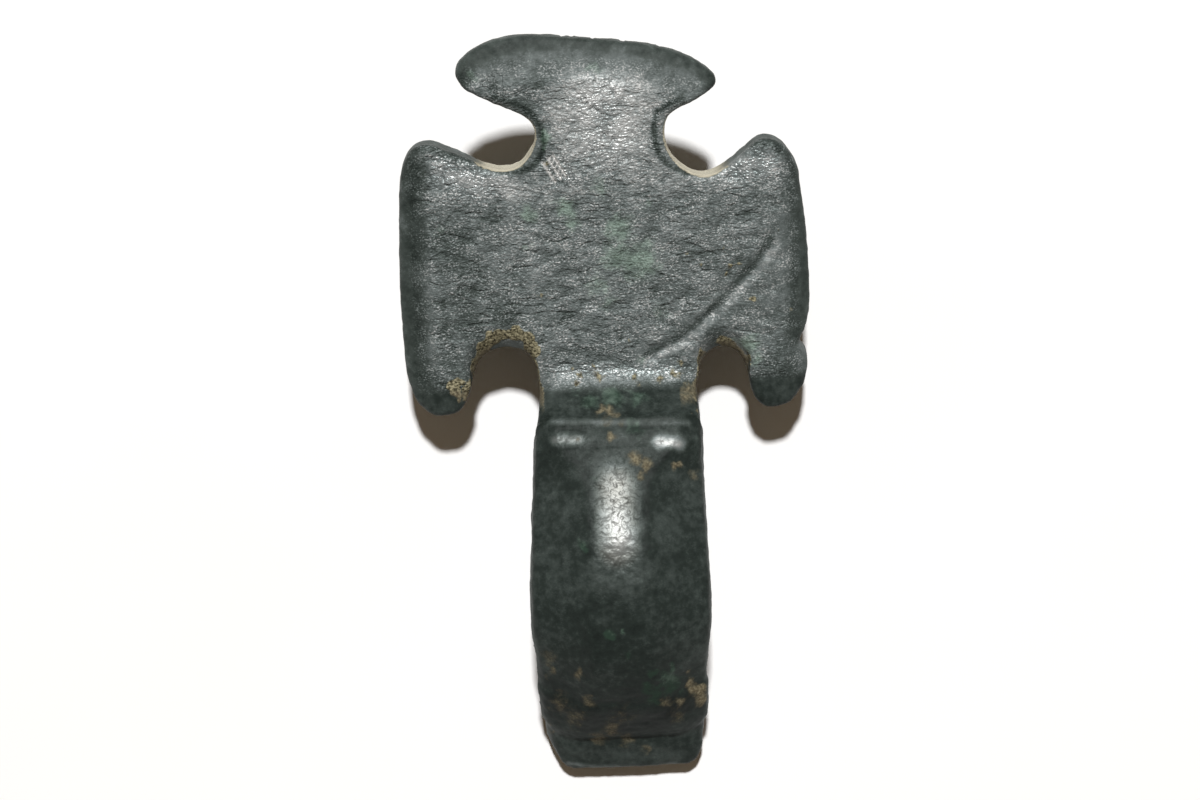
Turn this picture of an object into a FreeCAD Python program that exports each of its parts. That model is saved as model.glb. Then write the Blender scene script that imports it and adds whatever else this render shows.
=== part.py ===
"""Long brooch: a cast cross-headed brooch with its bow, broken foot, spring and pin.

The casting is drawn lying level: X runs across the head-plate, Y from the foot to the
head, and Z up from the back of the plate.  At the end every piece is tilted together
until the pin lug and the broken foot stand on the ground, as the brooch lies on a table.
All lengths are in millimetres and all angles in degrees.
"""
import FreeCAD, Part
import math
import os

os.makedirs("parts", exist_ok=True)

# Head-plate
PLATE_THICKNESS = 2.3
HEAD_LENGTH = 25.5
NECK_LEVEL = 18.6
NECK_WIDTH = 8.5
ARM_REACH_LEFT = 14.1
ARM_REACH_RIGHT = 13.8
CREST_REACH_LEFT = 9.5
CREST_REACH_RIGHT = 7.9
PLATE_END_LEVEL = 1.6

# Filed bevels on the front of the plate
ARM_BEVEL_WIDTH_LEFT = 2.2
ARM_BEVEL_WIDTH_RIGHT = 1.7
ARM_BEVEL_DEPTH = 0.9
CREST_BEVEL_RADIUS = 26.7
CREST_BEVEL_OFFSET = 3.2
CREST_BEVEL_WIDTH = 2.8
CREST_BEVEL_DEPTH = 1.0
NOTCH_RADIUS_LEFT = 2.4
NOTCH_RADIUS_RIGHT = 1.9
NOTCH_BEVEL_WIDTH = 1.5
NOTCH_BEVEL_DEPTH = 0.8

# Bow and stump of the foot
BOW_START_LEVEL = 2.1
BOW_LENGTH = 27.4
BOW_RISE = 9.4
BOW_WIDTH = 12.3
BOW_THICKNESS = 3.4
BOW_BACK_HOLLOW = 0.5
SIDE_FACET_SLOPE = 27.0
ROLL_WIDTH = 1.0
ROLL_RELIEF = 0.3
UPPER_BAND_WIDTH = 1.5
UPPER_BAND_RELIEF = 0.12
LOWER_BAND_WIDTH = 4.2
LOWER_BAND_RELIEF = 0.2
GROOVE_WIDTH = 0.6
GROOVE_DEPTH = 0.3

# Pin lug
LUG_LEVEL = 11.0
LUG_THICKNESS = 2.6
LUG_END_RADIUS = 2.4
LUG_ROOT_LENGTH = 7.4
AXIS_DEPTH = 3.6
BAR_RUNNING_CLEARANCE = 0.05

# Axis bar, spring and pin
BAR_DIAMETER = 1.5
BAR_END_ROUNDING = 0.3
BAR_OVERHANG = 0.9
WIRE_DIAMETER = 1.1
COIL_BORE_CLEARANCE = 0.15
COIL_PITCH = 1.7
TURNS_A_SIDE = 3
SIDE_CLEARANCE = 0.2
CHORD_CLEARANCE = 0.25
CHORD_BEND_RADIUS = 1.3
PIN_NEAR_LENGTH = 9.0
PIN_NEAR_SLOPE = 4.0
PIN_BEND_RADIUS = 12.0
PIN_FAR_LENGTH = 13.0
PIN_FAR_SLOPE = 16.0
PIN_END_GAP_ANGLE = 20.0
TAIL_LENGTH = 5.8
TAIL_SLOPE = 14.0

# How far a cutting or joined shape runs past the surface that it meets
OVERRUN = 0.5

# Outline of the arms.  Each row: share of the way across to the arm's reach, and share
# of the way up to the neck level.  The lower notches start from the bow's edge, and the
# other stretches are measured from the neck's edge.  Each stretch goes on from the last
# point of the one before it.
LOWER_NOTCH_RIGHT_SHARES = (
    (0.015, 0.120), (0.135, 0.190), (0.25, 0.204), (0.362, 0.179), (0.444, 0.122),
    (0.485, 0.041), (0.564, -0.022),
)
LOBE_RIGHT_SHARES = ((0.77, -0.027), (0.913, 0.022), (0.974, 0.103), (0.962, 0.177))
CHIP_RIGHT_SHARES = ((0.913, 0.2), (0.925, 0.221), (0.966, 0.259))
EDGE_RIGHT_SHARES = ((0.998, 0.337), (1.0, 0.451), (0.985, 0.603), (0.941, 0.824))
TIP_RIGHT_SHARES = ((0.89, 0.908), (0.759, 0.97), (0.595, 0.942))
UPPER_NOTCH_RIGHT_SHARES = ((0.379, 0.859), (0.277, 0.845), (0.164, 0.864), (0.037, 0.929), (0.0, 1.0))
LOWER_NOTCH_LEFT_SHARES = (
    (0.004, 0.141), (0.048, 0.196), (0.129, 0.223), (0.253, 0.23), (0.383, 0.215),
    (0.481, 0.158), (0.535, 0.076), (0.589, 0.022),
)
LOBE_LEFT_SHARES = ((0.726, -0.008), (0.871, 0.01), (0.959, 0.082), (0.993, 0.158))
EDGE_LEFT_SHARES = ((1.0, 0.272), (0.99, 0.543), (0.954, 0.842))
TIP_LEFT_SHARES = ((0.919, 0.929), (0.838, 0.992), (0.736, 1.004), (0.635, 0.981))
UPPER_NOTCH_LEFT_SHARES = (
    (0.449, 0.935), (0.32, 0.905), (0.208, 0.899), (0.107, 0.921), (0.036, 0.967),
)

# Outline of the crest.  Each row: share of the way from the neck's edge to the crest's
# reach, and share of the way from the neck level to the top of the head.
CREST_UNDER_RIGHT_SHARES = ((0.058, 0.177), (0.26, 0.267), (0.553, 0.335), (0.844, 0.422))
CREST_TIP_RIGHT_SHARES = ((0.992, 0.503), (0.89, 0.594))
CREST_UNDER_LEFT_SHARES = ((0.005, 0.072), (0.091, 0.229), (0.284, 0.32), (0.528, 0.404), (0.768, 0.507))
CREST_TIP_LEFT_SHARES = ((0.924, 0.58), (0.99, 0.681), (0.905, 0.812))

# Top edge of the crest from right to left: share of the crest's reach on that side of
# the middle, and share of the way from the neck level to the top of the head.
CREST_TOP_SHARES = (
    (0.794, 0.717), (0.627, 0.803), (0.29, 0.899), (-0.105, 0.957), (-0.462, 1.0),
    (-0.695, 0.978), (-0.853, 0.906),
)

# The bow from its root in the plate to the broken end of the foot.  Each row: share of
# the bow's length, share of its rise above the plate's front, lean of the section (plus
# towards the head), share of the bow's thickness, shares of half its width to the left
# and to the right, share of that half width in the flat centre facet, and share of half
# its width by which the left wall flares out towards its back edge.
BOW_STATION_SHARES = (
    (-0.04227, -0.003989, 0, 0.64, 0.8, 0.965, 0.80, 0),
    (-0.01869, 0.007181, 20, 0.63, 0.8, 0.965, 0.80, 0),
    (0.002446, 0.03601, 37, 0.62, 0.8, 0.965, 0.80, 0),
    (0.0207, 0.08643, 50, 0.62, 0.81, 0.97, 0.80, 0),
    (0.04283, 0.1744, 57, 0.65, 0.83, 0.975, 0.78, 0),
    (0.06416, 0.2749, 59, 0.70, 0.85, 0.98, 0.76, 0),
    (0.08135, 0.3487, 54, 0.76, 0.87, 0.985, 0.74, 0),
    (0.09946, 0.4019, 41, 0.82, 0.88, 0.985, 0.73, 0),
    (0.1363, 0.4831, 34, 0.89, 0.9, 0.985, 0.68, 0),
    (0.1712, 0.5497, 35, 0.93, 0.92, 0.98, 0.50, 0),
    (0.2235, 0.6531, 34, 0.96, 0.94, 0.98, 0.38, 0),
    (0.279, 0.7541, 31, 0.98, 0.955, 0.985, 0.34, 0),
    (0.3495, 0.8635, 25, 1.00, 0.975, 0.99, 0.33, 0),
    (0.4278, 0.9514, 17, 1.00, 1, 1, 0.33, 0),
    (0.5061, 1.002, 7, 0.98, 1, 1, 0.33, 0),
    (0.5796, 1.004, -6, 0.92, 1, 0.99, 0.33, 0.01),
    (0.6736, 0.9288, -24, 0.82, 0.965, 0.95, 0.34, 0.03),
    (0.7515, 0.8085, -32, 0.75, 0.945, 0.925, 0.40, 0.045),
    (0.8271, 0.6605, -36, 0.68, 0.92, 0.93, 0.54, 0.045),
    (0.8912, 0.5341, -32, 0.62, 0.895, 0.91, 0.68, 0.05),
    (0.9461, 0.4623, -30, 0.63, 0.85, 0.88, 0.78, 0.08),
    (1, 0.4065, -29, 0.65, 0.74, 0.8, 0.84, 0.085),
)
SHOULDER_SHARE = 0.96
BACK_HOLLOW_SHARE = 0.5
MOULDING_SIDE_SHARE = 0.25
RING_BACK_SHARE = 0.8
GROOVE_BACK_SHARE = 0.9

# Places of the mouldings, counted in rows of the bow's table
ROLL_ROW = 6.0
UPPER_BAND_ROW = 7.35
LOWER_BAND_ROW = 18.1
GROOVE_ROW = 19.25

# Half-round outline of the roll, and the flat top of a band with its two worn edges,
# both from just under the bow's skin: share of half the width, share of the relief
ROLL_PROFILE_SHARES = (
    (-1.0, -0.3), (-0.75, 0.45), (-0.4, 0.88), (0.0, 1.0), (0.4, 0.88), (0.75, 0.45), (1.0, -0.3),
)
BAND_PROFILE_SHARES = ((-1.0, -0.7), (-0.85, 0.7), (-0.6, 1.0), (0.6, 1.0), (0.85, 0.7), (1.0, -0.7))

# Turned directions of the crest's bevel, and how far the arm bevels run past the arms
CREST_BEVEL_FROM = 60.0
CREST_BEVEL_TO = 114.0
ARM_BEVEL_END_SHARE = 0.1

# Sizes worked out from the driving ones
wire_radius = WIRE_DIAMETER / 2
bar_radius = BAR_DIAMETER / 2
lug_bore_radius = bar_radius + BAR_RUNNING_CLEARANCE
coil_radius = bar_radius + COIL_BORE_CLEARANCE + wire_radius
coil_start = LUG_THICKNESS / 2 + SIDE_CLEARANCE + wire_radius
coil_end = coil_start + TURNS_A_SIDE * COIL_PITCH
chord_reach = LUG_END_RADIUS + wire_radius + CHORD_CLEARANCE
bar_half_length = coil_end + wire_radius + BAR_OVERHANG
bow_half_width = BOW_WIDTH / 2
bow_edge_left = bow_half_width * BOW_STATION_SHARES[1][4]
bow_edge_right = bow_half_width * BOW_STATION_SHARES[1][5]


def spread(shares, inner, outer, low, high):
    """Points at the given shares of the way across and up."""
    return [
        FreeCAD.Vector(inner + across * (outer - inner), low + up * (high - low), 0)
        for across, up in shares
    ]


def curve_through(points):
    """One smooth edge through the points."""
    curve = Part.BSplineCurve()
    curve.interpolate(points)
    return curve.toShape()


def straight_through(points):
    """Straight edges from point to point."""
    return [Part.makeLine(a, b) for a, b in zip(points, points[1:])]


def arm_edges(start, arm, bow, stretches):
    """Edges of one arm from the bow to the neck, and the last point."""
    neck = math.copysign(NECK_WIDTH / 2, arm)
    edges = []
    last = start
    for kind, shares in stretches:
        inner = bow if kind == "notch" else neck
        points = [last] + spread(shares, inner, arm, 0, NECK_LEVEL)
        edges += straight_through(points) if kind == "chip" else [curve_through(points)]
        last = points[-1]
    return edges, last


def crest_edges(last, upper_notch, arm, crest, under, tip):
    """Upper notch, underside and tip of one half of the crest, and the last point."""
    neck = math.copysign(NECK_WIDTH / 2, arm)
    points = [last] + spread(upper_notch, neck, arm, 0, NECK_LEVEL)
    points += spread(under, neck, crest, NECK_LEVEL, HEAD_LENGTH)
    tip_points = [points[-1]] + spread(tip, neck, crest, NECK_LEVEL, HEAD_LENGTH)
    return [curve_through(points), curve_through(tip_points)], tip_points[-1]


def head_outline():
    """Closed outline of the head-plate, from the bow round both arms and the crest."""
    start_right = FreeCAD.Vector(bow_edge_right, PLATE_END_LEVEL, 0)
    start_left = FreeCAD.Vector(-bow_edge_left, PLATE_END_LEVEL, 0)
    right, last = arm_edges(start_right, ARM_REACH_RIGHT, bow_edge_right, (
        ("notch", LOWER_NOTCH_RIGHT_SHARES), ("lobe", LOBE_RIGHT_SHARES), ("chip", CHIP_RIGHT_SHARES),
        ("edge", EDGE_RIGHT_SHARES), ("tip", TIP_RIGHT_SHARES),
    ))
    crest_right, top_start = crest_edges(
        last, UPPER_NOTCH_RIGHT_SHARES, ARM_REACH_RIGHT, CREST_REACH_RIGHT,
        CREST_UNDER_RIGHT_SHARES, CREST_TIP_RIGHT_SHARES,
    )
    left, last = arm_edges(start_left, -ARM_REACH_LEFT, -bow_edge_left, (
        ("notch", LOWER_NOTCH_LEFT_SHARES), ("lobe", LOBE_LEFT_SHARES),
        ("edge", EDGE_LEFT_SHARES), ("tip", TIP_LEFT_SHARES),
    ))
    crest_left, top_end = crest_edges(
        last, UPPER_NOTCH_LEFT_SHARES, -ARM_REACH_LEFT, -CREST_REACH_LEFT,
        CREST_UNDER_LEFT_SHARES, CREST_TIP_LEFT_SHARES,
    )
    top = [top_start]
    for across, up in CREST_TOP_SHARES:
        reach = CREST_REACH_RIGHT if across > 0 else CREST_REACH_LEFT
        top.append(FreeCAD.Vector(across * reach, NECK_LEVEL + up * (HEAD_LENGTH - NECK_LEVEL), 0))
    top.append(top_end)
    closing = Part.makeLine(start_left, start_right)
    edges = right + crest_right + [curve_through(top)] + crest_left + left + [closing]
    return Part.Wire(Part.sortEdges(edges)[0])


def arm_bevel(reach, width):
    """Wedge that files the outer edge of an arm down; reach is signed."""
    side = math.copysign(1, reach)
    slope = ARM_BEVEL_DEPTH / width
    low_end = -ARM_BEVEL_END_SHARE * NECK_LEVEL
    length = NECK_LEVEL - 2 * low_end
    profile = [
        (abs(reach) - width, PLATE_THICKNESS),
        (abs(reach) + OVERRUN, PLATE_THICKNESS - slope * (width + OVERRUN)),
        (abs(reach) + OVERRUN, PLATE_THICKNESS + OVERRUN),
        (abs(reach) - width, PLATE_THICKNESS + OVERRUN),
    ]
    points = [FreeCAD.Vector(side * x, low_end, z) for x, z in profile]
    return Part.Face(Part.makePolygon(points + points[:1])).extrude(FreeCAD.Vector(0, length, 0))


def crest_bevel():
    """Cone-shaped cut along the curved top edge of the crest."""
    centre = FreeCAD.Vector(-CREST_BEVEL_OFFSET, HEAD_LENGTH - CREST_BEVEL_RADIUS, 0)
    slope = CREST_BEVEL_DEPTH / CREST_BEVEL_WIDTH
    inner = CREST_BEVEL_RADIUS - CREST_BEVEL_WIDTH
    outer = CREST_BEVEL_RADIUS + OVERRUN
    profile = [
        (inner, PLATE_THICKNESS), (outer, PLATE_THICKNESS - slope * (outer - inner)),
        (outer, PLATE_THICKNESS + OVERRUN), (inner, PLATE_THICKNESS + OVERRUN),
    ]
    points = [centre + FreeCAD.Vector(r, 0, z) for r, z in profile]
    face = Part.Face(Part.makePolygon(points + points[:1]))
    up = FreeCAD.Vector(0, 0, 1)
    face.rotate(centre, up, CREST_BEVEL_FROM)
    return face.revolve(centre, up, CREST_BEVEL_TO - CREST_BEVEL_FROM)


def notch_bevel(side, bow_edge, radius, shares):
    """Slanting round cut above a lower notch, as a round file held at an angle leaves it."""
    top = max(up for across, up in shares) * NECK_LEVEL
    edge = FreeCAD.Vector(side * (bow_edge + radius), top - radius, PLATE_THICKNESS - NOTCH_BEVEL_DEPTH)
    rise = FreeCAD.Vector(0, NOTCH_BEVEL_WIDTH / NOTCH_BEVEL_DEPTH, 1)
    low = edge - rise * OVERRUN
    high = edge + rise * (NOTCH_BEVEL_DEPTH + OVERRUN)
    rings = [Part.Wire(Part.makeCircle(radius, place)) for place in (low, high)]
    return Part.makeLoft(rings, True, True)


def head_plate():
    """Cross-shaped plate with its filed bevels."""
    plate = Part.Face(head_outline()).extrude(FreeCAD.Vector(0, 0, PLATE_THICKNESS))
    return plate.cut([
        arm_bevel(-ARM_REACH_LEFT, ARM_BEVEL_WIDTH_LEFT),
        arm_bevel(ARM_REACH_RIGHT, ARM_BEVEL_WIDTH_RIGHT),
        crest_bevel(),
        notch_bevel(-1, bow_edge_left, NOTCH_RADIUS_LEFT, LOWER_NOTCH_LEFT_SHARES),
        notch_bevel(1, bow_edge_right, NOTCH_RADIUS_RIGHT, LOWER_NOTCH_RIGHT_SHARES),
    ])


def bow_row(place):
    """The bow's table read at any place between its rows, with a smooth run through them."""
    rows = BOW_STATION_SHARES
    index = min(max(int(place), 0), len(rows) - 2)
    t = place - index
    a, b = rows[index], rows[index + 1]
    before = rows[max(index - 1, 0)]
    after = rows[min(index + 2, len(rows) - 1)]
    return [
        q + t * (r - p) / 2 + t * t * (p - 5 * q / 2 + 2 * r - s / 2)
        + t * t * t * (3 * q / 2 - p / 2 - 3 * r / 2 + s / 2)
        for p, q, r, s in zip(before, a, b, after)
    ]


def bow_frame(row):
    """Front point of a section and its outward direction."""
    along, rise, lean = row[:3]
    front = FreeCAD.Vector(0, BOW_START_LEVEL - along * BOW_LENGTH, PLATE_THICKNESS + rise * BOW_RISE)
    outward = FreeCAD.Vector(0, math.sin(math.radians(lean)), math.cos(math.radians(lean)))
    return front, outward


def bow_section(row, relief=0.0, back_share=None):
    """Faceted section of the bow; relief raises its front, and its sides a little, for a moulding.

    Without a back share it has the bow's hollow back.  With one it ends inside the bow,
    at that share of its thickness.
    """
    thickness_share, left_share, right_share, facet_share, flare_share = row[3:]
    front, outward = bow_frame(row)
    thickness = thickness_share * BOW_THICKNESS
    fall = math.tan(math.radians(SIDE_FACET_SLOPE))
    left = left_share * bow_half_width
    right = right_share * bow_half_width
    flare = flare_share * bow_half_width
    drop_left = left * (SHOULDER_SHARE - facet_share) * fall
    drop_right = right * (SHOULDER_SHARE - facet_share) * fall
    back = thickness if back_share is None else back_share * thickness
    side = relief * MOULDING_SIDE_SHARE
    places = [
        (-left - side - flare, -back), (-left * SHOULDER_SHARE - side, relief - drop_left),
        (-left * facet_share, relief), (right * facet_share, relief),
        (right * SHOULDER_SHARE + side, relief - drop_right), (right + side, -back),
    ]
    if back_share is None:
        hollow = BOW_BACK_HOLLOW - back
        places += [(right * BACK_HOLLOW_SHARE, hollow), (-left * BACK_HOLLOW_SHARE, hollow)]
    points = [front + outward * depth + FreeCAD.Vector(across, 0, 0) for across, depth in places]
    return Part.makePolygon(points + points[:1])


def ring(place, width, relief, profile, back_share):
    """Moulding across the front and sides of the bow, following its section."""
    ahead = bow_frame(bow_row(place + 0.5))[0]
    behind = bow_frame(bow_row(place - 0.5))[0]
    half = width / 2 / ahead.distanceToPoint(behind)
    sections = [
        bow_section(bow_row(place + across * half), relief * up, back_share)
        for across, up in profile
    ]
    return Part.makeLoft(sections, True, True)


def groove():
    """Cross cut between the lower band and the foot."""
    flat = ((-1.0, 1.0), (1.0, 1.0))
    outside = ring(GROOVE_ROW, GROOVE_WIDTH, OVERRUN, flat, RING_BACK_SHARE)
    inside = ring(GROOVE_ROW, GROOVE_WIDTH + OVERRUN, -GROOVE_DEPTH, flat, GROOVE_BACK_SHARE)
    return outside.cut(inside)


def bow():
    """Arched faceted bow with its mouldings and the stump of the foot."""
    arch = Part.makeLoft([bow_section(row) for row in BOW_STATION_SHARES], True, False)
    mouldings = [
        ring(ROLL_ROW, ROLL_WIDTH, ROLL_RELIEF, ROLL_PROFILE_SHARES, RING_BACK_SHARE),
        ring(UPPER_BAND_ROW, UPPER_BAND_WIDTH, UPPER_BAND_RELIEF, BAND_PROFILE_SHARES, RING_BACK_SHARE),
        ring(LOWER_BAND_ROW, LOWER_BAND_WIDTH, LOWER_BAND_RELIEF, BAND_PROFILE_SHARES, RING_BACK_SHARE),
    ]
    return arch.fuse(mouldings).cut(groove())


def lug():
    """Pin lug behind the plate, with the hole for the axis bar."""
    half = LUG_THICKNESS / 2
    root = LUG_ROOT_LENGTH / 2
    embed = PLATE_THICKNESS / 2
    places = [
        (-root, embed), (-root, 0), (-LUG_END_RADIUS, -AXIS_DEPTH),
        (LUG_END_RADIUS, -AXIS_DEPTH), (root, 0), (root, embed),
    ]
    points = [FreeCAD.Vector(-half, LUG_LEVEL + along, level) for along, level in places]
    bottom = FreeCAD.Vector(-half, LUG_LEVEL, -AXIS_DEPTH - LUG_END_RADIUS)
    edges = straight_through(points[:3]) + [Part.Arc(points[2], bottom, points[3]).toShape()]
    edges += straight_through(points[3:] + points[:1])
    body = Part.Face(Part.Wire(edges)).extrude(FreeCAD.Vector(LUG_THICKNESS, 0, 0))
    centre = FreeCAD.Vector(-half - OVERRUN, LUG_LEVEL, -AXIS_DEPTH)
    hole = Part.makeCylinder(
        lug_bore_radius, LUG_THICKNESS + 2 * OVERRUN, centre, FreeCAD.Vector(1, 0, 0)
    )
    return body.cut(hole)


def cast_body():
    """Head-plate, bow, foot stump and pin lug, cast in one."""
    return head_plate().fuse([bow(), lug()]).removeSplitter()


def axis_bar():
    """Iron bar through the lug, with hammered round ends."""
    start = FreeCAD.Vector(-bar_half_length, LUG_LEVEL, -AXIS_DEPTH)
    bar = Part.makeCylinder(bar_radius, 2 * bar_half_length, start, FreeCAD.Vector(1, 0, 0))
    rims = [edge for edge in bar.Edges if isinstance(edge.Curve, Part.Circle)]
    return bar.makeFillet(min(BAR_END_ROUNDING, bar_radius / 2), rims)


def on_axis(across, along, level):
    """A point measured from the middle of the axis bar."""
    return FreeCAD.Vector(across, LUG_LEVEL + along, level - AXIS_DEPTH)


def coil_stop(side, turned, level=False):
    """Point and direction on a coil after so many degrees from its top, going outwards.

    A level stop has no sideways lead, so that a straight run can follow it.
    """
    angle = math.radians(90 - turned)
    lead = 0 if level else COIL_PITCH / (2 * math.pi)
    point = on_axis(
        side * (coil_start + COIL_PITCH * turned / 360),
        coil_radius * math.cos(angle), coil_radius * math.sin(angle),
    )
    direction = FreeCAD.Vector(side * lead, coil_radius * math.sin(angle), -coil_radius * math.cos(angle))
    return point, direction.normalize()


def tangent_arc(start, start_direction, end):
    """Arc that leaves start in the given direction and reaches end."""
    chord = end - start
    angle = chord.getAngle(start_direction)
    if angle < 1e-6:
        return Part.makeLine(start, end)
    half = chord.Length / 2
    middle = start + chord / 2
    peak = start + start_direction * (half / math.cos(angle))
    bulge = peak - middle
    crown = middle + bulge.normalize() * (half * math.tan(angle / 2))
    return Part.Arc(start, crown, end).toShape()


def biarc(first, second):
    """Two arcs that meet smoothly and join two stops of a wire, each a point and a direction."""
    (start, leave), (end, arrive) = first, second
    gap = end - start
    turn = 2 * (1 - leave.dot(arrive))
    pull = gap.dot(leave + arrive)
    if turn < 1e-9:
        reach = gap.Length / 4
    else:
        reach = (-pull + math.sqrt(pull * pull + turn * gap.dot(gap))) / turn
    joint = (start + leave * reach + end - arrive * reach) / 2
    return [tangent_arc(start, leave, joint), tangent_arc(end, arrive * -1, joint)]


def wire_route(stops):
    """Edges of a bent wire through its stops; a straight run is a line."""
    edges = []
    for first, second in zip(stops, stops[1:]):
        run = second[0] - first[0]
        if run.getAngle(first[1]) < 1e-6 and run.getAngle(second[1]) < 1e-6:
            edges.append(Part.makeLine(first[0], second[0]))
        else:
            edges += biarc(first, second)
    return edges


def round_wire(stops):
    """Solid round wire along its stops."""
    route = Part.Wire(Part.sortEdges(wire_route(stops))[0])
    start, direction = stops[0]
    section = Part.Wire(Part.makeCircle(wire_radius, start, direction))
    return route, route.makePipeShell([section], True, False)


def least_gap(route):
    """Least space between parts of a wire that lie more than three wires apart along it."""
    step = WIRE_DIAMETER / 8
    count = int(route.Length / step)
    points = route.discretize(Number=count)
    skip = int(3 * WIRE_DIAMETER / step)
    least = min(
        points[i].distanceToPoint(points[j])
        for i in range(count) for j in range(i + skip, count)
    )
    return least - WIRE_DIAMETER


def reversed_stops(stops):
    """The same stops, followed from the far end."""
    return [(point, direction * -1) for point, direction in reversed(stops)]


def spring_stops():
    """Stops of the fixed wire: right coil, chord past the lug, left coil and its tail."""
    last = 360 * TURNS_A_SIDE
    coil_right = [coil_stop(1, turned) for turned in range(360, last, 90)]
    coil_right.append(coil_stop(1, last, level=True))
    coil_left = [coil_stop(-1, TAIL_SLOPE, level=True)]
    coil_left += [coil_stop(-1, turned) for turned in range(90, last, 90)]
    coil_left.append(coil_stop(-1, last, level=True))
    exit_point, inwards = coil_left[0]
    tail = [(exit_point - inwards * TAIL_LENGTH, inwards)]
    down = FreeCAD.Vector(0, 0, -1)
    forward = FreeCAD.Vector(0, 1, 0)
    chord = []
    for side in (1, -1):
        across = FreeCAD.Vector(-side, 0, 0)
        chord.append([
            (on_axis(side * coil_end, chord_reach - coil_radius, coil_radius), forward),
            (on_axis(side * coil_end, chord_reach, 0), down),
            (on_axis(side * (coil_end - CHORD_BEND_RADIUS), chord_reach, -CHORD_BEND_RADIUS), across),
        ])
    return coil_right + chord[0] + reversed_stops(tail + coil_left + chord[1])


def sloping(slope):
    """Direction along the pin towards the coil, for a pin that rises so much towards its point."""
    return FreeCAD.Vector(0, math.cos(math.radians(slope)), -math.sin(math.radians(slope)))


def pin_shaft():
    """Stops of the pin's shaft, from its broken point over its slight bend to the coil."""
    exit_point = coil_stop(1, PIN_NEAR_SLOPE, level=True)[0]
    near, far = sloping(PIN_NEAR_SLOPE), sloping(PIN_FAR_SLOPE)
    middle = sloping((PIN_NEAR_SLOPE + PIN_FAR_SLOPE) / 2)
    bend = math.radians(PIN_FAR_SLOPE - PIN_NEAR_SLOPE)
    bend_end = exit_point - near * PIN_NEAR_LENGTH
    bend_start = bend_end - middle * (2 * PIN_BEND_RADIUS * math.sin(bend / 2))
    point = bend_start - far * PIN_FAR_LENGTH
    return [(point, far), (bend_start, far), (bend_end, near), (exit_point, near)]


def pin_stops():
    """Stops of the moving wire, from its broken point to its own turn round the bar."""
    stops = pin_shaft() + [coil_stop(1, turned) for turned in (90, 180, 270)]
    stops.append(coil_stop(1, 360 - PIN_END_GAP_ANGLE))
    return stops


def resting_tilt():
    """Tilt at which the foot's broken corner and the lug's round end both touch the ground."""
    front, outward = bow_frame(BOW_STATION_SHARES[-1])
    corner = front - outward * (BOW_STATION_SHARES[-1][3] * BOW_THICKNESS)
    along = LUG_LEVEL - corner.y
    fall = corner.z + AXIS_DEPTH
    return math.degrees(math.atan2(fall, along) + math.asin(LUG_END_RADIUS / math.hypot(along, fall)))


def build():
    """All pieces in the brooch's own frame, standing on the ground."""
    spring_route, spring = round_wire(spring_stops())
    pin_route, pin = round_wire(pin_stops())
    print("least gap of the spring wire to itself, mm: %.3f" % least_gap(spring_route))
    print("least gap of the pin wire to itself, mm: %.3f" % least_gap(pin_route))
    pieces = {"cast_body": cast_body(), "axis_bar": axis_bar(), "spring": spring, "pin": pin}
    tilt = resting_tilt()
    turn = FreeCAD.Rotation(FreeCAD.Vector(1, 0, 0), tilt)
    for piece in pieces.values():
        piece.rotate(FreeCAD.Vector(0, 0, 0), FreeCAD.Vector(1, 0, 0), tilt)
    axis = turn.multVec(FreeCAD.Vector(0, LUG_LEVEL, -AXIS_DEPTH))
    box = Part.makeCompound(list(pieces.values())).optimalBoundingBox(False, False)
    shift = FreeCAD.Vector(-box.Center.x, -box.Center.y, LUG_END_RADIUS - axis.z)
    for piece in pieces.values():
        piece.translate(shift)
    report_places(turn, shift, tilt)
    return pieces


def report_places(turn, shift, tilt):
    """Print the places that the joint, the mounts and the openings are measured from."""
    print("tilt %.3f degrees" % tilt)
    shaft = pin_shaft()
    places = {
        "axis of the bar": on_axis(0, 0, 0),
        "pin's broken end": shaft[0][0],
        "inner end of the pin's far run": shaft[1][0],
        "pin at the coil": shaft[3][0],
        "back of the plate at the lug's level": FreeCAD.Vector(0, LUG_LEVEL, 0),
        "back of the plate at the neck": FreeCAD.Vector(0, NECK_LEVEL, 0),
        "top of the head": FreeCAD.Vector(0, HEAD_LENGTH, 0),
    }
    for name, place in places.items():
        moved = turn.multVec(place) + shift
        print("%s: %.3f %.3f %.3f" % (name, moved.x, moved.y, moved.z))


for node, shape in build().items():
    if not shape.isValid() or len(shape.Solids) != 1:
        print("check", node, shape.isValid(), len(shape.Solids))
    shape.exportStep("parts/%s.step" % node)
    box = shape.optimalBoundingBox(False, False)
    print("%s: volume %.1f, box %.2f %.2f %.2f to %.2f %.2f %.2f" % (
        node, shape.Volume, box.XMin, box.YMin, box.ZMin, box.XMax, box.YMax, box.ZMax))
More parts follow.
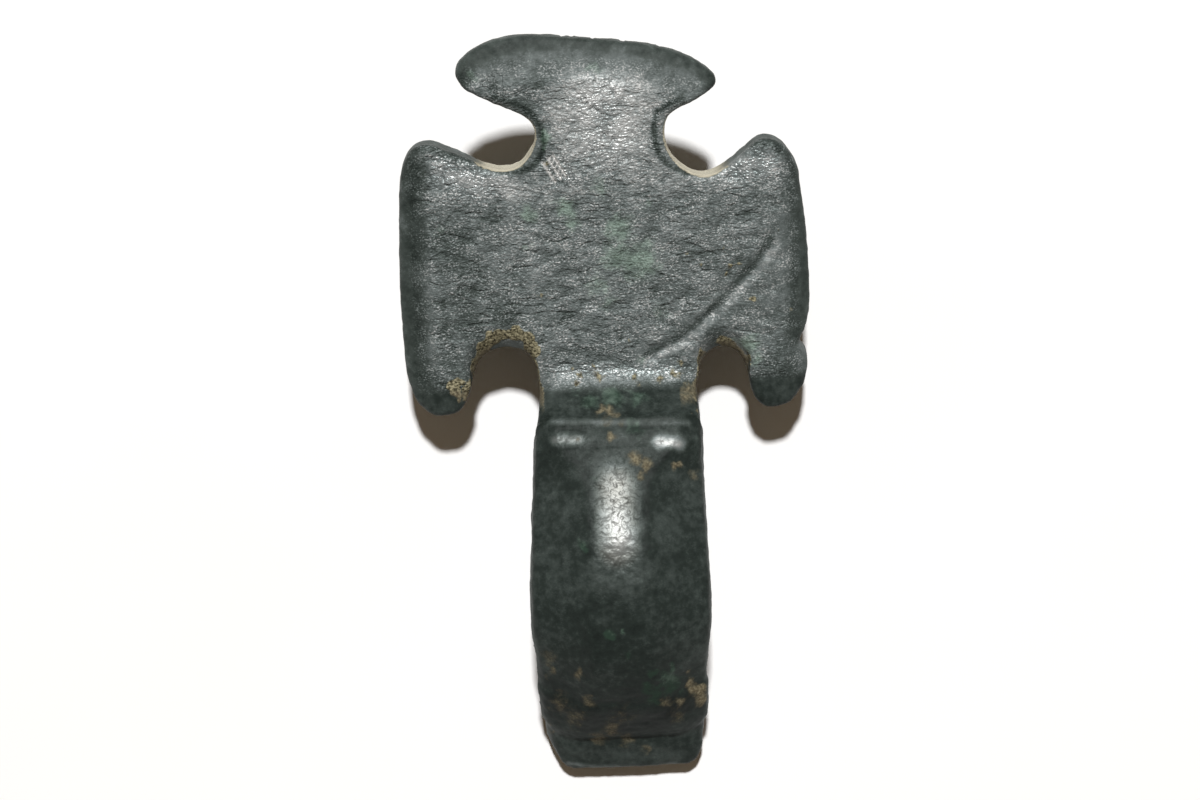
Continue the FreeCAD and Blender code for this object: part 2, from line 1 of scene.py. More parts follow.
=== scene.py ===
import math
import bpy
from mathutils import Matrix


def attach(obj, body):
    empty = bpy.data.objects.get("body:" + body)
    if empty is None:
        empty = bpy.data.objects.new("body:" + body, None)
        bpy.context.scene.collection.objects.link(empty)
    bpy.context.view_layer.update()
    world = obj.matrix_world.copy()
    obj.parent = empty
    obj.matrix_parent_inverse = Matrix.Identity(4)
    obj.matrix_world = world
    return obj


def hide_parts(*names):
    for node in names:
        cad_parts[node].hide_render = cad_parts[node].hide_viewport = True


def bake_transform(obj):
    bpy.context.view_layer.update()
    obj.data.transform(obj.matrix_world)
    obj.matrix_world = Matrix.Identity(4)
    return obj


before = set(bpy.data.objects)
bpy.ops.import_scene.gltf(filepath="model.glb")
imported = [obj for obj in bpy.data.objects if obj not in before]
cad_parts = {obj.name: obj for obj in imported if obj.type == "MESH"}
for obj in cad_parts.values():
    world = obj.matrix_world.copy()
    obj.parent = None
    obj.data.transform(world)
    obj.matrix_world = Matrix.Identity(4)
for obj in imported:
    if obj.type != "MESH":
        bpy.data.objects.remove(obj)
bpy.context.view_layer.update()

from types import SimpleNamespace

import bmesh
import bpy
import numpy as np
from mathutils import Vector, noise

# Lengths are in millimetres and become metres where a mesh is made.
MM = 0.001

# The photograph: its size, and the camera that sees the brooch as it does.
PHOTO_WIDTH = 1200
PHOTO_HEIGHT = 800
CAMERA_PLACE = (-0.68, 0.586, 179.94)
CAMERA_ROLL = math.radians(2.63)
LENS = 76.2
SENSOR = 36.0
PIXELS_A_RADIAN = PHOTO_WIDTH * LENS / SENSOR

# How the head-plate lies in the row frame.
PLATE_TILT = math.radians(16.280)
PLATE_PLACE = (0.140, 0.760, 2.772)

# The sprung wire behind the plate, in the plate's own directions: where its axis lies
# along and under the plate, the coils, the chord that joins them, the tail and the pin.
AXIS_LEVEL = 11.0
AXIS_DEPTH = 3.6
WIRE_RADIUS = 0.55
COIL_RADIUS = 1.45
COIL_START = 2.05
COIL_PITCH = 1.7
COIL_TURNS = 3
CHORD_REACH = 3.2
CHORD_BEND = 1.3
TAIL_LENGTH = 5.8
TAIL_SLOPE = math.radians(14)
PIN_PATH = (
    (10.0, -2.08), (6.0, -1.80), (2.12, -1.53), (-0.35, -1.09), (-6.5, 0.67), (-12.84, 2.49),
)

# Degrees turned from the top of the coil where the wire leaves it, and where the bends of
# the lead and of the chord are marked out.
OUTER_TURN = 360 * COIL_TURNS
PIN_LEAVES = 5
TAIL_LEAVES = 14
LEAD_STEPS = (0, 20, 40, 60, 80)
CHORD_STEPS = (10, 30, 50, 70, 90)

# How far corrosion roughens the wire and the bar.
WIRE_CORROSION = 0.035
BAR_CORROSION = 0.05

# Fineness of the skins.  A finer casting would pass 200,000 triangles.
CASTING_GRAIN = 0.171
BAR_GRAIN = 0.13

# Points closer than this are made one.
SOLID_MERGE = 0.004
WIRE_MERGE = 0.002

# How far one round of wear moves a point towards its neighbours, and the rounds each gets.
WEAR = 0.5
CASTING_WEAR = 7
GROOVE_WEAR = 30
BAR_WEAR = 2


def plate_point(u, v, w):
    """A place across, along and above the tilted plate, as a place in the row frame."""
    c, s = math.cos(PLATE_TILT), math.sin(PLATE_TILT)
    x, y, z = PLATE_PLACE
    return (u + x, v * c - w * s + y, v * s + w * c + z)


def on_plate(points):
    """Row-frame points as places across, along and above the plate."""
    c, s = math.cos(PLATE_TILT), math.sin(PLATE_TILT)
    moved = points - np.array(PLATE_PLACE)
    along = moved[:, 1] * c + moved[:, 2] * s
    above = moved[:, 2] * c - moved[:, 1] * s
    return np.column_stack((moved[:, 0], along, above))


def in_photo(points):
    """Where the photograph shows row-frame points, in its pixels."""
    c, s = math.cos(CAMERA_ROLL), math.sin(CAMERA_ROLL)
    moved = points - np.array(CAMERA_PLACE)
    depth = -moved[:, 2]
    right = (moved[:, 0] * c - moved[:, 1] * s) / depth
    up = (moved[:, 0] * s + moved[:, 1] * c) / depth
    x = PHOTO_WIDTH / 2 + right * PIXELS_A_RADIAN
    y = PHOTO_HEIGHT / 2 - up * PIXELS_A_RADIAN
    return np.column_stack((x, y))


def smooth(low, high, values):
    """Rises smoothly from 0 at low to 1 at high."""
    t = np.clip((values - low) / (high - low), 0, 1)
    return t * t * (3 - 2 * t)


def grain(points, size, stretch=(1, 1, 1), shift=0.0):
    """Even noise of that size in millimetres at each point, about -1 to 1."""
    scaled = points / (size * np.array(stretch)) + shift
    return np.array([noise.noise(Vector(p)) for p in scaled])


def cells(points, size, shift=0.0):
    """How far each point is from the nearest of scattered centres, in that size."""
    scaled = points / size + shift
    return np.array([noise.voronoi(Vector(p))[0][0] for p in scaled])


def stroke(seen, line, width):
    """1 on a line drawn through points, 0 from width away, for places of two numbers."""
    nearest = np.full(len(seen), 1e9)
    ends = np.array(line, float)
    if len(ends) == 1:
        nearest = np.linalg.norm(seen - ends[0], axis=1)
    for a, b in zip(ends[:-1], ends[1:]):
        run = b - a
        share = np.clip((seen - a) @ run / (run @ run), 0, 1)
        gap = np.linalg.norm(seen - a - share[:, None] * run, axis=1)
        nearest = np.minimum(nearest, gap)
    return 1 - smooth(0, width, nearest)


def side_of_line(seen, lines, reach):
    """The signed distance to the nearest of some lines, cut off at reach."""
    best = np.full(len(seen), float(reach))
    for line in lines:
        ends = np.array(line, float)
        for a, b in zip(ends[:-1], ends[1:]):
            run = b - a
            share = np.clip((seen - a) @ run / (run @ run), 0, 1)
            off = seen - a - share[:, None] * run
            gap = np.linalg.norm(off, axis=1)
            side = np.where(run[0] * off[:, 1] - run[1] * off[:, 0] < 0, -1, 1)
            best = np.where(gap < np.abs(best), gap * side, best)
    return best


# Meshes

def new_piece(name, mesh):
    """Puts a mesh in the scene as a piece of its own."""
    piece = bpy.data.objects.new(name, mesh)
    bpy.context.scene.collection.objects.link(piece)
    return piece


def merged_copy(node, name):
    """A copy of a CAD node's mesh with its loose triangles joined."""
    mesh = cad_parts[node].data.copy()
    mesh.materials.clear()
    work = bmesh.new()
    work.from_mesh(mesh)
    bmesh.ops.remove_doubles(work, verts=work.verts, dist=SOLID_MERGE * MM)
    bmesh.ops.recalc_face_normals(work, faces=work.faces)
    work.to_mesh(mesh)
    work.free()
    return new_piece(name, mesh)


def made_mesh(piece):
    """The piece's mesh as its modifiers or its curve make it."""
    bpy.context.view_layer.update()
    ready = piece.evaluated_get(bpy.context.evaluated_depsgraph_get())
    return bpy.data.meshes.new_from_object(ready)


def even_skin(piece, grain_size):
    """Gives the piece an even skin of small faces, fine enough to shape."""
    skin = piece.modifiers.new("even skin", "REMESH")
    skin.mode = "VOXEL"
    skin.voxel_size = grain_size * MM
    mesh = made_mesh(piece)
    piece.modifiers.clear()
    piece.data = mesh


def wear_round(piece, rounds):
    """Rounds every edge a little, as long wear does."""
    work = bmesh.new()
    work.from_mesh(piece.data)
    for _ in range(rounds):
        bmesh.ops.smooth_vert(
            work, verts=work.verts, factor=WEAR,
            use_axis_x=True, use_axis_y=True, use_axis_z=True)
    work.to_mesh(piece.data)
    work.free()


def places(mesh):
    """The mesh's points in millimetres, and its normals."""
    count = len(mesh.vertices)
    points = np.zeros(count * 3)
    mesh.vertices.foreach_get("co", points)
    normals = np.zeros(count * 3)
    mesh.vertex_normals.foreach_get("vector", normals)
    return points.reshape(-1, 3) / MM, normals.reshape(-1, 3)


def wear_along(piece, line, reach, rounds):
    """Rounds the front of the piece more along a line of the photograph."""
    points, normals = places(piece.data)
    near = (stroke(in_photo(points), line, reach) > 0) & (normals[:, 2] > -0.3)
    work = bmesh.new()
    work.from_mesh(piece.data)
    work.verts.ensure_lookup_table()
    chosen = [work.verts[i] for i in np.flatnonzero(near)]
    for _ in range(rounds):
        bmesh.ops.smooth_vert(
            work, verts=chosen, factor=WEAR,
            use_axis_x=True, use_axis_y=True, use_axis_z=True)
    work.to_mesh(piece.data)
    work.free()


def raise_skin(mesh, points, normals, height):
    """Moves each point out along its normal by a height in millimetres."""
    moved = (points + normals * height[:, None]) * MM
    mesh.vertices.foreach_set("co", moved.astype(np.float32).ravel())
    mesh.update()


def keep_mask(mesh, name, values):
    """Stores a number for each point for the finishes to read."""
    mask = mesh.attributes.new(name, "FLOAT", "POINT")
    mask.data.foreach_set("value", np.clip(values, -9, 9).astype(np.float32))


def smooth_shading(mesh):
    """Shades the mesh as one smooth surface."""
    mesh.polygons.foreach_set("use_smooth", [True] * len(mesh.polygons))
    mesh.update()


# Marks on the casting, where the photograph shows them, in its pixels: lines, and patches
# by centre, radius and strength.
LONG_CREASE = (
    (650, 356), (665, 348), (681, 339), (697, 327), (711, 313), (726, 299), (740, 284), (754, 269),
    (763, 257), (772, 243),
)
SHORT_CREASES = (
    ((708, 296), (716, 287), (724, 279), (738, 262)),
    ((762, 241), (776, 229)),
    ((658, 320), (666, 313)),
    ((668, 312), (690, 292)),
    ((664, 207), (655, 229), (640, 247)),
    ((716, 230), (728, 216), (735, 208)),
)
FILE_MARKS = (
    ((548, 158), (561, 179)),
    ((543, 163), (555, 182)),
    ((553, 156), (566, 176)),
)
CREST_SCRATCHES = (
    ((487, 88), (497, 94)),
    ((494, 79), (496, 90)),
)
# Pale lines along arrises: a painted highlight, partly worn metal.
ARRIS_LINES = (
    ((427, 196), (430, 250), (432, 310), (434, 372), (437, 392)),
    ((797, 262), (798, 290), (797, 320)),
)
FIELD_SOIL = (
    ((539, 293), 5, 0.55), ((505, 345), 5, 0.5), ((500, 237), 4, 0.45),
    ((737, 262), 5, 0.7), ((730, 269), 6, 0.75), ((724, 276), 4, 0.6), ((758, 252), 3, 0.8),
    ((752, 299), 6, 0.7), ((790, 311), 4, 0.5), ((684, 254), 5, 0.55), ((702, 264), 4, 0.5),
    ((726, 246), 4, 0.45), ((777, 230), 5, 0.55), ((630, 341), 4, 0.6), ((547, 166), 5, 0.6),
    ((522, 48), 4, 0.6), ((593, 368), 6, 0.5), ((768, 380), 5, 0.7), ((748, 146), 6, 0.5),
    ((604, 84), 3, 0.35), ((648, 106), 3, 0.35), ((456, 100), 3, 0.4), ((575, 372), 8, 0.5),
    ((682, 362), 6, 0.45), ((541, 296), 9, 0.3),
)
EDGE_SOIL = (
    ((453, 384), 8, 1.4), ((459, 382), 7, 1.3), ((456, 391), 8, 1.4), ((457, 399), 6, 1.3),
    ((697, 378), 8, 0.85), ((689, 392), 7, 0.8), ((686, 400), 6, 0.7), ((636, 379), 9, 0.55),
    ((600, 377), 10, 0.5), ((660, 378), 9, 0.5), ((577, 382), 7, 0.5), ((675, 372), 8, 0.5),
)
BOW_SOIL = (
    ((600, 411), 9, 0.7), ((612, 412), 9, 0.75), ((607, 423), 12, 0.40), ((622, 422), 8, 0.4),
    ((611, 437), 8, 0.75), ((576, 440), 6, 0.4), ((636, 458), 13, 0.7), ((647, 465), 11, 0.7),
    ((640, 474), 9, 0.5), ((678, 467), 8, 0.75), ((692, 476), 12, 0.45), ((697, 692), 13, 0.95),
    ((690, 684), 9, 0.9), ((700, 700), 10, 0.9), ((680, 701), 10, 0.65), ((690, 673), 7, 0.6),
    ((551, 670), 9, 0.6), ((580, 674), 9, 0.55), ((560, 702), 16, 0.4), ((590, 700), 10, 0.5),
    ((612, 728), 16, 0.5), ((600, 739), 14, 0.5), ((628, 739), 14, 0.5), ((648, 749), 9, 0.45),
    ((665, 703), 12, 0.45), ((551, 728), 6, 0.4), ((548, 655), 16, 0.34), ((575, 716), 22, 0.32),
    ((625, 716), 26, 0.24), ((676, 716), 14, 0.30),
)
GREEN_PATCHES = (
    ((566, 208), 20, 0.95), ((572, 224), 13, 0.8), ((530, 214), 16, 0.8), ((528, 247), 9, 0.6),
    ((600, 188), 16, 0.6), ((618, 228), 26, 0.8), ((640, 260), 34, 0.95), ((616, 256), 28, 0.75),
    ((598, 284), 20, 0.65), ((608, 302), 14, 0.6), ((648, 205), 14, 0.45), ((546, 137), 8, 1.4),
    ((545, 147), 6, 1.2), ((594, 68), 12, 0.65), ((748, 345), 18, 1.0), ((756, 358), 12, 0.8),
    ((736, 338), 9, 0.8), ((474, 62), 11, 0.85), ((470, 52), 9, 0.6), ((470, 78), 10, 0.55),
    ((642, 358), 10, 0.45), ((660, 312), 16, 0.45), ((618, 50), 12, 0.4), ((440, 230), 16, 0.3),
)
BOW_GREEN = (
    ((612, 395), 22, 0.8), ((640, 400), 18, 0.6), ((590, 402), 16, 0.5), ((607, 408), 9, 0.6),
    ((575, 392), 12, 0.4), ((582, 544), 9, 0.8), ((584, 548), 6, 0.8), ((609, 637), 7, 1.0),
    ((624, 630), 6, 0.9), ((652, 674), 9, 0.85), ((672, 668), 7, 0.75), ((668, 682), 20, 0.75),
    ((656, 694), 16, 0.7), ((646, 687), 10, 0.6), ((629, 655), 8, 0.6), ((636, 430), 16, 0.4),
)
# Nicks by centre, radius and depth in millimetres, and a dent by centre and radius.
CREST_NICKS = (
    ((562, 35), 4, 0.12), ((571, 37), 3, 0.08), ((622, 41), 4, 0.10), ((658, 49), 5, 0.14),
    ((592, 38), 3, 0.07), ((690, 66), 4, 0.08),
)
RING_DENT = ((594, 67), 7.5)
# How pale the patina is, from 0 black to 1, in soft strokes that also paint light and
# shade: the line, its reach in pixels, and the tone.  Each stroke covers the ones before it.
PLATE_TONE = 0.66
# On the plate the strokes paint a sheen brightest at the neck and fading to the lobes, painted
# highlights under the crest, at the arms' upper corners and along the fillet into the bow, and
# painted shade along the crest's outline, the arms' upper edges and the notches' edges; the rest is
# the patina's own tone.
PLATE_TONES_AND_PAINTED_LIGHT = (
    (((470, 60), (540, 44), (620, 44), (700, 70)), 30, 0.48),
    (((458, 84), (476, 54), (530, 38), (620, 41), (696, 62), (716, 88)), 15, 0.34),
    (((402, 178), (411, 152), (427, 145), (448, 154), (470, 163)), 9, 0.36),
    (((728, 157), (748, 144), (766, 139), (784, 152), (797, 180)), 9, 0.38),
    (((495, 84), (540, 76), (640, 74), (680, 86)), 22, 0.62),
    (((440, 180), (520, 190), (680, 185), (765, 168)), 34, 0.74),
    (((570, 160), (640, 160)), 40, 0.76),
    (((552, 104), (655, 106)), 28, 0.80),
    (((580, 96), (624, 96), (628, 140), (580, 140), (580, 96)), 46, 0.93),
    (((434, 168), (470, 182), (524, 194)), 15, 0.86),
    (((726, 176), (756, 160), (772, 166)), 16, 0.84),
    (((455, 250), (470, 340)), 54, 0.55),
    (((414, 170), (409, 280), (420, 385)), 26, 0.35),
    (((799, 180), (804, 280), (799, 330)), 22, 0.37),
    (((448, 390),), 40, 0.44),
    (((785, 375),), 40, 0.46),
    (((715, 340),), 20, 0.44),
    (((510, 318),), 22, 0.48),
    (((560, 370), (690, 370)), 15, 0.71),
    (((494, 97), (512, 102), (524, 108), (535, 117), (541, 128), (544, 144), (541, 155), (533, 166),
      (520, 172), (500, 172), (481, 165), (466, 157)), 5, 0.34),
    (((682, 98), (668, 104), (657, 112), (654, 123), (654, 138), (658, 153), (670, 166), (687, 173),
      (705, 172), (717, 168), (735, 153)), 5, 0.36),
)
BOW_TONE = 0.27
# On the bow the strokes paint highlights on the roll, on its two glints and on the middle facet, a
# dim painted reflection below that, painted light on the left of the rise, and painted shade along
# the middle facet's edges; the rest is the patina's own tone.
BOW_TONES_AND_PAINTED_LIGHT = (
    (((575, 400), (690, 402)), 22, 0.30),
    (((550, 392),), 26, 0.46),
    (((553, 422), (688, 423)), 5, 0.50),
    (((592, 438), (645, 440)), 12, 0.36),
    (((555, 440), (579, 440)), 10, 0.60),
    (((659, 442), (678, 444)), 12, 0.92),
    (((566, 454), (590, 476), (590, 552)), 9, 0.17),
    (((670, 452), (647, 476), (646, 552)), 9, 0.17),
    (((616, 474), (618, 545)), 32, 0.54),
    (((615, 522), (619, 540)), 24, 0.76),
    (((606, 572), (634, 576)), 30, 0.34),
    (((600, 620), (630, 690)), 60, 0.20),
    (((560, 700), (600, 716), (650, 716), (690, 700)), 30, 0.08),
    (((575, 754), (680, 754)), 12, 0.32),
    (((568, 763), (600, 767), (650, 767), (676, 763)), 4, 0.60),
)
# Where handling has polished the metal, in the same way: 0 dull, 1 polished.
PLATE_SHINE = 0.40
PLATE_SHINES = (
    (((470, 60), (540, 50), (620, 50), (700, 74)), 46, 0.05),
    (((601, 106), (604, 140)), 56, 0.75),
    (((440, 172), (478, 184)), 26, 0.9),
    (((735, 172), (762, 160)), 26, 0.8),
    (((414, 170), (409, 280), (420, 385)), 26, 0.15),
    (((799, 180), (804, 280), (799, 330)), 22, 0.2),
    (((543, 163), (566, 176)), 12, 1.0),
    (((560, 370), (690, 370)), 12, 0.7),
)
BOW_SHINE = 0.15
BOW_SHINES = (
    (((560, 371), (690, 371)), 12, 0.6),
    (((555, 440), (579, 440)), 12, 0.52),
    (((659, 442), (678, 444)), 14, 0.52),
    (((616, 486), (618, 548)), 44, 0.66),
)

# Lines that wear, silt and smoothing follow, each with its reach.
SILTED_GROOVE = (((546, 728), (570, 737), (599, 740), (650, 738), (688, 733), (702, 727)), 12)
WORN_NECK = (((598, 85), (602, 140)), 80)
BOW_TOP = (((616, 455), (618, 590)), 46)
ROLL_TOP = (((560, 440), (676, 442)), 20)
RUBBED_ARCH = (
    (((616, 460), (618, 590)), ((555, 440), (579, 440)), ((659, 442), (678, 444))), 40,
)
SMOOTH_CORNER = (((765, 300), (790, 240)), 60)
SMOOTH_CREASE = (LONG_CREASE, 24)
LOWER_NOTCH_SOIL = (
    (((468, 392), (472, 378), (478, 362), (484, 348), (492, 338), (503, 333), (515, 333),
      (526, 338), (533, 350)), 9),
    (((722, 340), (731, 343), (739, 351), (745, 360), (748, 368)), 7),
    (((701, 350), (698, 372), (698, 412)), 4),
)

# Tone and polish of the back, which the photograph doesn't show.
BACK_TONE = 0.38
BACK_SHINE = 0.1

# How strongly soil and green show away from the plate's front.
BOW_SOIL_SHARE = 1.2
BOW_GREEN_SHARE = 1.3
LOWER_WALL_SOIL = 0.75
UNDERSIDE_SOIL = 0.35

# Bounds of parts of the casting, each from nothing to full, by place on the plate: where
# the head begins along and above it, and the walls of its notches.
HEAD_ALONG = (1.2, 2.0)
HEAD_ABOVE = (1.6, 2.0)
WALL_ABOVE = (-0.6, 0.1)
UPPER_NOTCH_OUTER = (7.4, 9.2)
UPPER_NOTCH_FROM = (14.2, 14.8)
UPPER_NOTCH_TO = (19.0, 21.5)
LOWER_NOTCH_ACROSS = (4.6, 9.6)
LOWER_NOTCH_FROM = (0.0, 1.0)
LOWER_NOTCH_TO = (6.2, 6.8)
LIP_SOIL_FROM = -4

# Heights and depths of the casting's skin, and the sizes of what swells and dents it.
SWELL, SWELL_SIZE = 0.07, 4.0
UNEVEN_SWELL = 0.06
LUMP, LUMP_SIZE = 0.04, 1.3
BUMP, BUMP_SIZE, SMALL_BUMP_SIZE = 0.036, 0.55, 0.38
DENT, DENT_SIZE, SMALL_DENT_SIZE = 0.08, 0.75, 0.38
DENT_STRETCH = (2.2, 1, 1)
PIT_SPACING, PIT_REACH = 0.62, 0.34
FINE_GRAIN, FINE_GRAIN_SIZE = 0.03, 0.42
LONG_CREASE_DEPTH, LONG_CREASE_REACH = 0.17, 10
SHORT_CREASE_DEPTH, SHORT_CREASE_REACH = 0.09, 8
SCRATCH_DEPTH, SCRATCH_REACH = 0.05, 4
RING_DEPTH, RING_REACH = 0.06, 3

# How far and how finely the edges of patches stray, in pixels and in millimetres.
STRAY_REACH, STRAY_SIZE = 7, 0.8


def patches(seen, marks):
    """The strongest of some round patches at each place."""
    found = np.zeros(len(seen))
    for centre, radius, strength in marks:
        found = np.maximum(found, stroke(seen, (centre,), radius) * strength)
    return found


def painted(seen, tone, strokes):
    """A tone with soft strokes of other tones laid over it."""
    tone = np.full(len(seen), float(tone))
    for line, reach, level in strokes:
        tone += (level - tone) * stroke(seen, line, reach)
    return tone


def drawn(seen, lines, width):
    """The strongest of some strokes at each place."""
    return np.max([stroke(seen, line, width) for line in lines], axis=0)


def read_skin(mesh):
    """Each point of the casting: where it is on the plate and in the photograph, and on what."""
    points, normals = places(mesh)
    flat, seen = on_plate(points), in_photo(points)
    turned = on_plate(normals + np.array(PLATE_PLACE))
    strayed = [grain(flat, STRAY_SIZE, shift=seed) for seed in (21, 43)]
    is_plate = smooth(*HEAD_ALONG, flat[:, 1]) * smooth(*HEAD_ABOVE, flat[:, 2])
    return SimpleNamespace(
        points=points, normals=normals, flat=flat, turned=turned,
        seen=seen, ragged=seen + STRAY_REACH * np.column_stack(strayed),
        front=smooth(0.1, 0.4, normals[:, 2]),
        is_plate=is_plate, is_bow=1 - is_plate,
        field=smooth(0.955, 0.992, turned[:, 2]) * is_plate)


def swollen(skin):
    """The slow swell of corrosion, with soft lumps and, off the plate's flat, small bumps."""
    swell = SWELL + grain(skin.flat, SWELL_SIZE) * UNEVEN_SWELL
    lumps = grain(skin.flat, LUMP_SIZE, shift=7.3) * LUMP
    bow_top = np.maximum(stroke(skin.seen, *BOW_TOP), stroke(skin.seen, *ROLL_TOP))
    small = (0.4 + 0.5 * bow_top) * grain(skin.flat, SMALL_BUMP_SIZE, shift=8.1)
    bumps = (grain(skin.flat, BUMP_SIZE, shift=2.9) + small) * BUMP * (1 - skin.field)
    return swell + lumps + bumps


def dented(skin):
    """The depth of long dents across the plate and of pits on its worn neck, less a fine grain."""
    worn = stroke(skin.seen, *WORN_NECK)
    flatness = 0.3 + 0.7 * skin.field
    long_dents = grain(skin.flat, DENT_SIZE, stretch=DENT_STRETCH, shift=3.1)
    long_dents += 0.45 * grain(skin.flat, SMALL_DENT_SIZE, shift=5.5)
    dents = smooth(0.16, 0.40, long_dents) * DENT * skin.field * (1 - worn)
    pits = np.clip(PIT_REACH - cells(skin.flat, PIT_SPACING, 5.7), 0, 1)
    pits = pits * (0.15 + 0.8 * worn) * flatness
    fine = grain(skin.flat, FINE_GRAIN_SIZE, shift=11.9) * FINE_GRAIN * (flatness + worn)
    return dents + pits - fine


def cut_marks(skin):
    """The depth of creases, scratches and the ring-shaped dent on the front, and of nicks."""
    valley = stroke(skin.seen, LONG_CREASE, LONG_CREASE_REACH) * LONG_CREASE_DEPTH
    folds = drawn(skin.seen, SHORT_CREASES, SHORT_CREASE_REACH) * SHORT_CREASE_DEPTH
    scratches = drawn(skin.seen, FILE_MARKS + CREST_SCRATCHES, SCRATCH_REACH) * SCRATCH_DEPTH
    middle, radius = RING_DENT
    ring_gap = np.abs(np.linalg.norm(skin.seen - np.array(middle), axis=1) - radius)
    ring = (1 - smooth(0, RING_REACH, ring_gap)) * RING_DEPTH
    nicks = sum(stroke(skin.seen, (place,), reach) * depth for place, reach, depth in CREST_NICKS)
    return (valley + folds + scratches + ring) * skin.front + nicks


def notch_walls(skin):
    """1 on the upright walls of the plate's notches, upper ones then lower ones."""
    wall = 1 - smooth(0.45, 0.8, np.abs(skin.turned[:, 2]))
    across, along = np.abs(skin.flat[:, 0]), skin.flat[:, 1]
    wall = wall * smooth(*WALL_ABOVE, skin.flat[:, 2])
    upper = wall * (1 - smooth(*UPPER_NOTCH_OUTER, across))
    upper = upper * smooth(*UPPER_NOTCH_FROM, along) * (1 - smooth(*UPPER_NOTCH_TO, along))
    inner, outer = LOWER_NOTCH_ACROSS
    lower = wall * (across > inner) * (across < outer)
    lower = lower * smooth(*LOWER_NOTCH_FROM, along) * (1 - smooth(*LOWER_NOTCH_TO, along))
    return upper, lower


def soil_marks(skin, upper, lower):
    """Where soil sticks: patches, the notches' lips and walls, and a little underneath."""
    soil = patches(skin.ragged, FIELD_SOIL + EDGE_SOIL) * skin.is_plate
    soil += patches(skin.ragged, BOW_SOIL + EDGE_SOIL) * skin.is_bow * BOW_SOIL_SHARE
    lips = [stroke(skin.ragged, line, width) for line, width in LOWER_NOTCH_SOIL]
    lip = smooth(0.0, 0.55, np.max(lips, axis=0)) * (skin.flat[:, 1] > LIP_SOIL_FROM)
    walls = np.maximum(upper, lower * LOWER_WALL_SOIL)
    soil = np.maximum(np.maximum(soil, lip) * skin.front, walls)
    underneath = (1 - smooth(-0.35, 0.0, skin.turned[:, 2])) * UNDERSIDE_SOIL
    return np.maximum(soil, underneath)


def green_marks(skin):
    """Where green corrosion shows on the front."""
    green = patches(skin.ragged, GREEN_PATCHES) * skin.is_plate
    green += patches(skin.ragged, BOW_GREEN) * skin.is_bow * BOW_GREEN_SHARE
    return green * skin.front


def tone_and_painted_light_marks(skin):
    """How pale the patina is, with the strokes' painted light and shade, and a painted lit side and
    shaded side along the long crease.
    """
    tone = painted(skin.seen, BOW_TONE, BOW_TONES_AND_PAINTED_LIGHT)
    on_head = smooth(*HEAD_ALONG, skin.flat[:, 1])
    tone += (painted(skin.seen, PLATE_TONE, PLATE_TONES_AND_PAINTED_LIGHT) - tone) * on_head
    # A painted highlight on one flank of the long crease and painted shade on the other.
    side = side_of_line(skin.seen, (LONG_CREASE,), 14)
    tone += 0.16 * smooth(0, 3, side) * (1 - smooth(6, 11, side))
    tone -= 0.10 * smooth(-9, -4, side) * (1 - smooth(-2, 1, side))
    return tone * skin.front + BACK_TONE * (1 - skin.front)


def shine_marks(skin):
    """How polished the metal is."""
    shine = painted(skin.seen, BOW_SHINE, BOW_SHINES)
    shine += (painted(skin.seen, PLATE_SHINE, PLATE_SHINES) - shine) * skin.is_plate
    return shine * skin.front + BACK_SHINE * (1 - skin.front)


def battered_marks(skin):
    """Where the plate is battered: all but its smoother right corner and along the crease."""
    smoother = np.maximum(stroke(skin.seen, *SMOOTH_CORNER), stroke(skin.seen, *SMOOTH_CREASE))
    smoother = smoother * 0.7
    return (1 - smoother) * skin.is_plate * (0.5 + 0.5 * skin.field)


def keep_masks(mesh, skin):
    """Stores where the casting is soiled, green, polished, battered and scratched, and how pale it
    is with painted light and shade.
    """
    upper, lower = notch_walls(skin)
    marks = {
        "soil": soil_marks(skin, upper, lower),
        "cream": upper,
        "verdigris": green_marks(skin),
        "tone": tone_and_painted_light_marks(skin),
        "shine": shine_marks(skin),
        "battered": battered_marks(skin),
        "hammered": smooth(0, 0.5, drawn(skin.seen, *RUBBED_ARCH)) * skin.is_bow * skin.front,
        "grainy": (0.15 + 0.85 * skin.is_plate) * skin.front,
        "arris": drawn(skin.ragged, ARRIS_LINES, 5) * skin.front,
        "scratch_side": side_of_line(skin.seen, FILE_MARKS + CREST_SCRATCHES, 8),
        "filed": drawn(skin.seen, FILE_MARKS, 3.5) * skin.front,
    }
    for name, values in marks.items():
        keep_mask(mesh, name, values)


def cast_body():
    """The cast head-plate, bow, foot stump and lug in one corroded piece."""
    piece = merged_copy("cast_body", "old_casting")
    even_skin(piece, CASTING_GRAIN)
    wear_round(piece, CASTING_WEAR)
    wear_along(piece, *SILTED_GROOVE, GROOVE_WEAR)
    mesh = piece.data
    skin = read_skin(mesh)
    height = swollen(skin) - dented(skin) - cut_marks(skin)
    raise_skin(mesh, skin.points, skin.normals, height)
    keep_masks(mesh, skin)
    # Where the relief sinks in, for the painted shade in its hollows.
    keep_mask(mesh, "hollow", smooth(0.06, -0.10, height - SWELL))
    smooth_shading(mesh)
    mesh.materials.append(old_bronze())
    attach(piece, "casting")
    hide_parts("cast_body")


